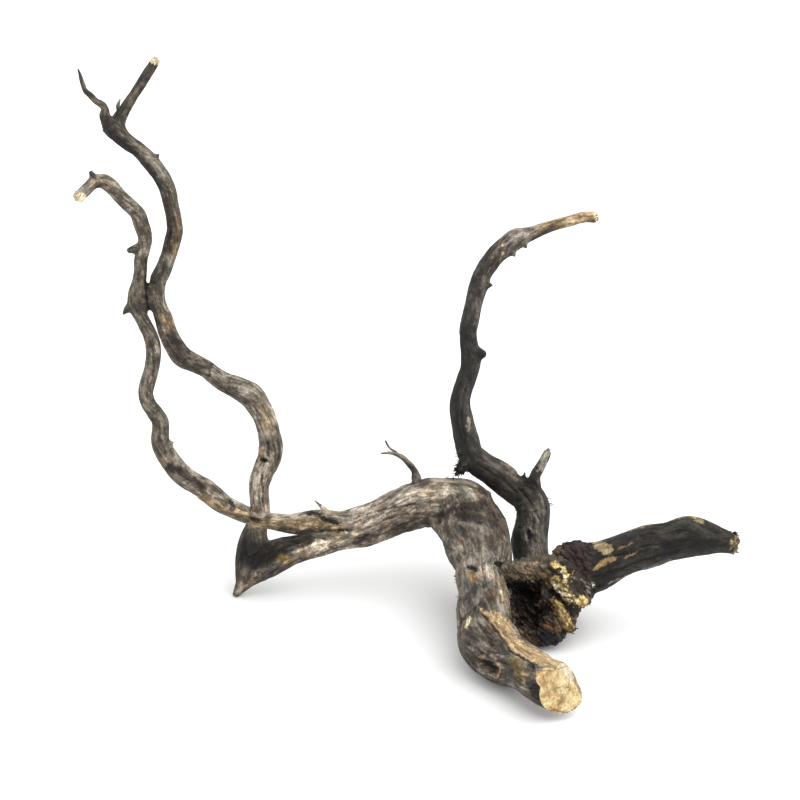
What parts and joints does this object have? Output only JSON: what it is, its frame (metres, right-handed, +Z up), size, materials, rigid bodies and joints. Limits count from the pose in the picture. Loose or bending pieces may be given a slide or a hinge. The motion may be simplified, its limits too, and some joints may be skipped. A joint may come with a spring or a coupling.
{
  "type": "driftwood piece",
  "caption": "Weathered branching driftwood piece: a bent trunk with a rotten root crown and long bare branches, which stands on a surface as a decoration.",
  "frame": {"origin": "Centre of the flat spot under the bend of the trunk, on the surface that the piece stands on.", "axes": "+Z up. +X along the arm of the trunk, from the heel of the long branches toward the right-hand root. -Y is the side that the sawn end of the trunk points to."},
  "size_m": [0.6832, 0.437, 0.5607],
  "materials": {
    "driftwood": "bare weathered wood, grey-brown, matte, grain standing proud"
  },
  "bodies": {
    "root": {"driftwood": "driftwood"}
  },
  "joints": []
}
